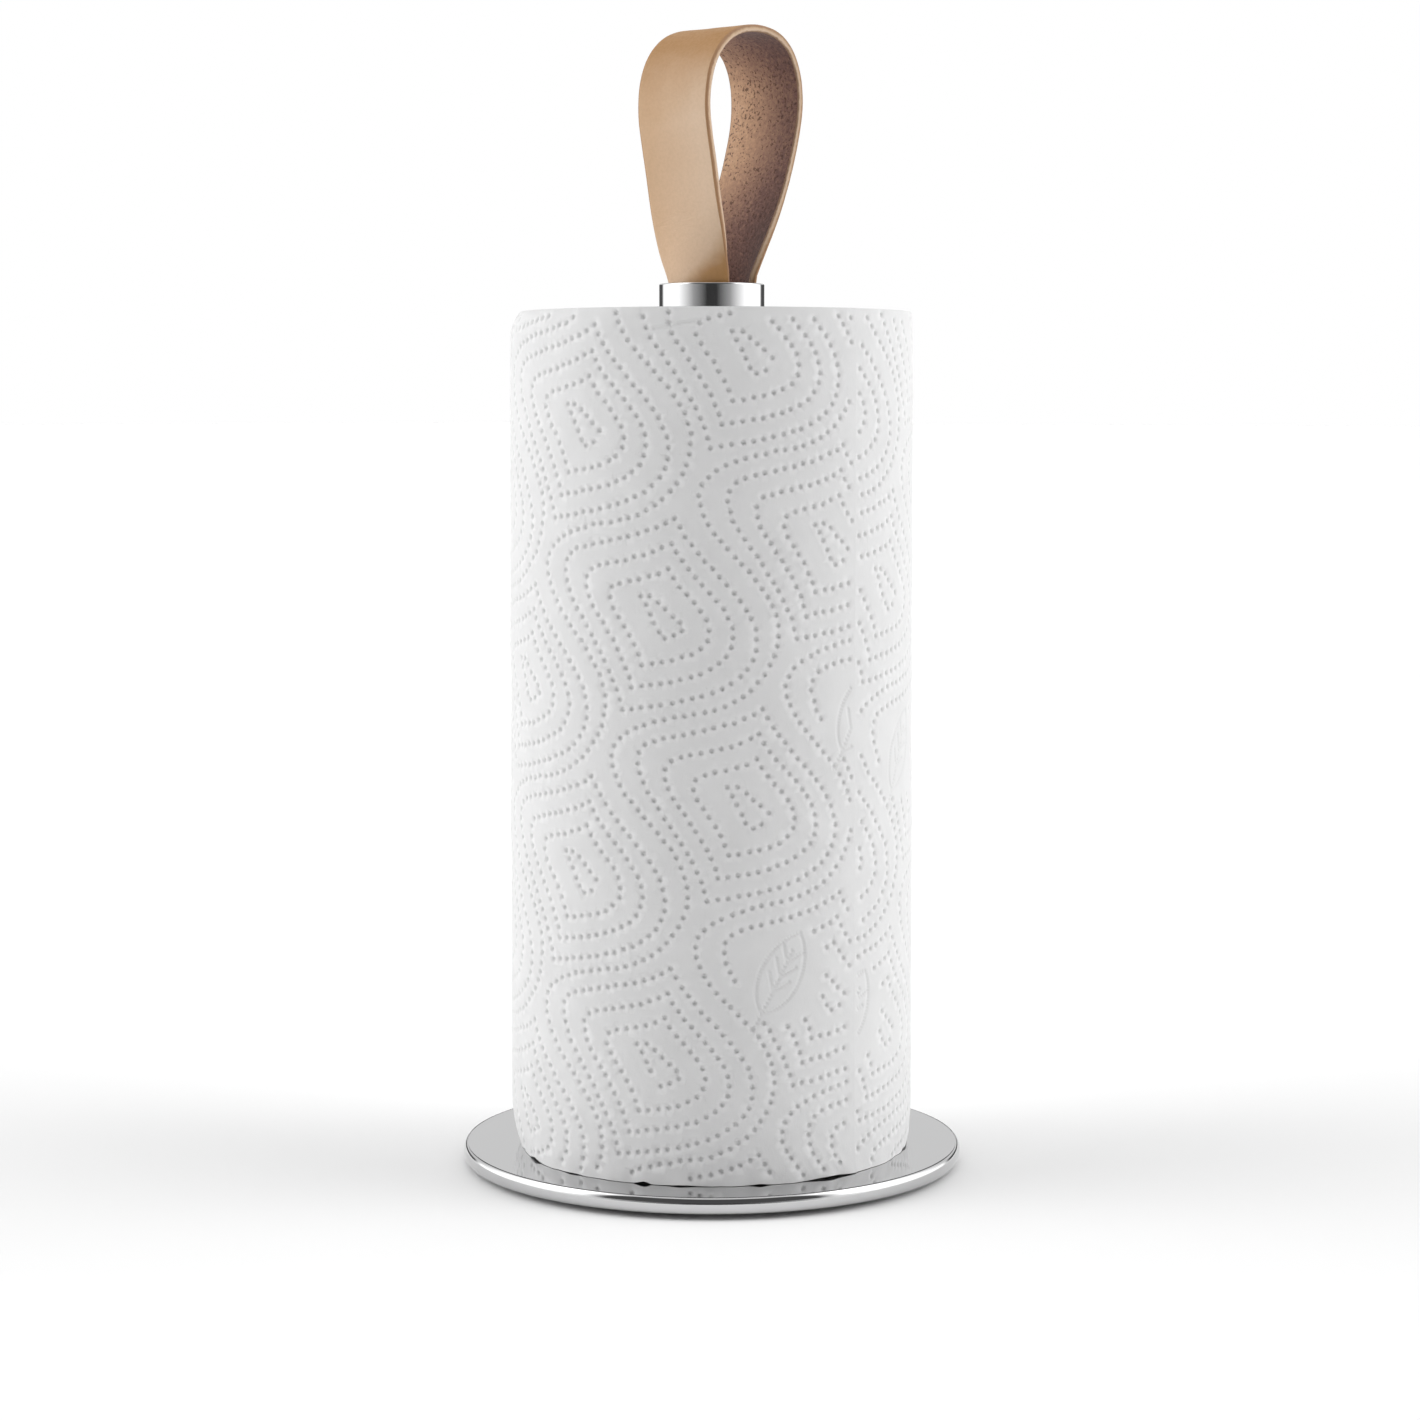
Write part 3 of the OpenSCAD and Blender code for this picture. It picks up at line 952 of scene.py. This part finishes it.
def studio_light():
    """Soft light: a wide soft box at each side, a dim front, a light ceiling and a white backdrop."""
    world = bpy.data.worlds.new("studio")
    bpy.context.scene.world = world
    world.use_nodes = True
    tree = world.node_tree
    tree.nodes.clear()

    def add(kind, **settings):
        node = tree.nodes.new("ShaderNode" + kind)
        for name, value in settings.items():
            setattr(node, name, value)
        return node

    def maths(operation, a, b=0.0):
        node = add("Math", operation=operation)
        for index, value in enumerate((a, b)):
            if isinstance(value, bpy.types.NodeSocket):
                tree.links.new(value, node.inputs[index])
            else:
                node.inputs[index].default_value = value
        return node.outputs[0]

    def ramp(source, stops):
        node = add("ValToRGB")
        tree.links.new(source, node.inputs["Fac"])
        elements = node.color_ramp.elements
        while len(elements) < len(stops):
            elements.new(0.5)
        for element, (position, value) in zip(elements, stops):
            element.position = position
            element.color = (value, value, value, 1)
        return node.outputs["Color"]

    def blend(factor, a, b):
        node = add("Mix", data_type="RGBA")
        for value, socket in ((factor, 0), (a, 6), (b, 7)):
            if isinstance(value, bpy.types.NodeSocket):
                tree.links.new(value, node.inputs[socket])
            else:
                node.inputs[socket].default_value = (value, value, value, 1)
        return node.outputs[2]

    split = add("SeparateXYZ")
    tree.links.new(add("TexCoord").outputs["Generated"], split.inputs[0])
    x, y, z = split.outputs
    # 0 is the dim front of the studio, 1 its back, and both sides are alike
    along = maths("MULTIPLY", x, math.cos(camera_bearing))
    along = maths("ADD", along, maths("MULTIPLY", y, math.sin(camera_bearing)))
    flat = maths("SQRT", maths("ADD", maths("MULTIPLY", x, x), maths("MULTIPLY", y, y)))
    turn = maths("DIVIDE", maths("ARCCOSINE", maths("DIVIDE", along, maths("MAXIMUM", flat, 0.001))), math.pi)
    climb = maths("DIVIDE", maths("ARCSINE", z), math.pi / 2)
    peak = 5.0                              # brighter than anything in the room
    # brightness at some degrees from the front, low on the walls and in the soft boxes above them
    wall_light = [(10, 0.05), (40, 0.5), (80, 1.8), (130, 1.8), (140, 0.1)]
    box_light = [(50, 0.1), (70, 3.0), (90, 4.0), (110, 2.0), (140, 0.8)]
    walls, boxes = (ramp(turn, [(t / 180, v / peak) for t, v in row]) for row in (wall_light, box_light))
    ceiling = 0.9
    risen = ramp(climb, [(8 / 90, 0.0), (10 / 90, 1.0)])
    overhead = ramp(climb, [(55 / 90, 0.0), (65 / 90, 1.0)])
    lit = add("Background")
    tree.links.new(blend(overhead, blend(risen, walls, boxes), ceiling / peak), lit.inputs["Color"])
    lit.inputs["Strength"].default_value = peak
    backdrop = add("Background")
    backdrop.inputs["Color"].default_value = (1, 1, 1, 1)
    choose = add("MixShader")
    tree.links.new(add("LightPath").outputs["Is Camera Ray"], choose.inputs[0])
    tree.links.new(lit.outputs[0], choose.inputs[1])
    tree.links.new(backdrop.outputs[0], choose.inputs[2])
    tree.links.new(choose.outputs[0], add("OutputWorld").inputs["Surface"])


def carried_over(steel, iron, rubber, plastic):
    """CAD nodes that keep their shape and get a finished material."""
    for node, material in (
        ("base_weight", iron), ("grip_pad", rubber), ("base_screw", steel),
        ("foot_insert", steel), ("strap_plug", plastic), ("strap_pin", steel),
    ):
        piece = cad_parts[node]
        piece.data.materials.clear()
        piece.data.materials.append(material.data)


add_camera()
studio_floor()
studio_light()
bpy.context.scene.view_settings.view_transform = "Standard"

mirror = polished_steel()
base_shell(mirror)
post_tube(mirror)
top_bush(mirror)
strap(leather_grain(), leather_flesh(), leather_edge())
outer_sheet(tissue())
paper_winding(wound_paper())
roll_core(cardboard())
carried_over(turned_steel(), rough_iron(), pad_rubber(), nylon())

bpy.context.view_layer.update()
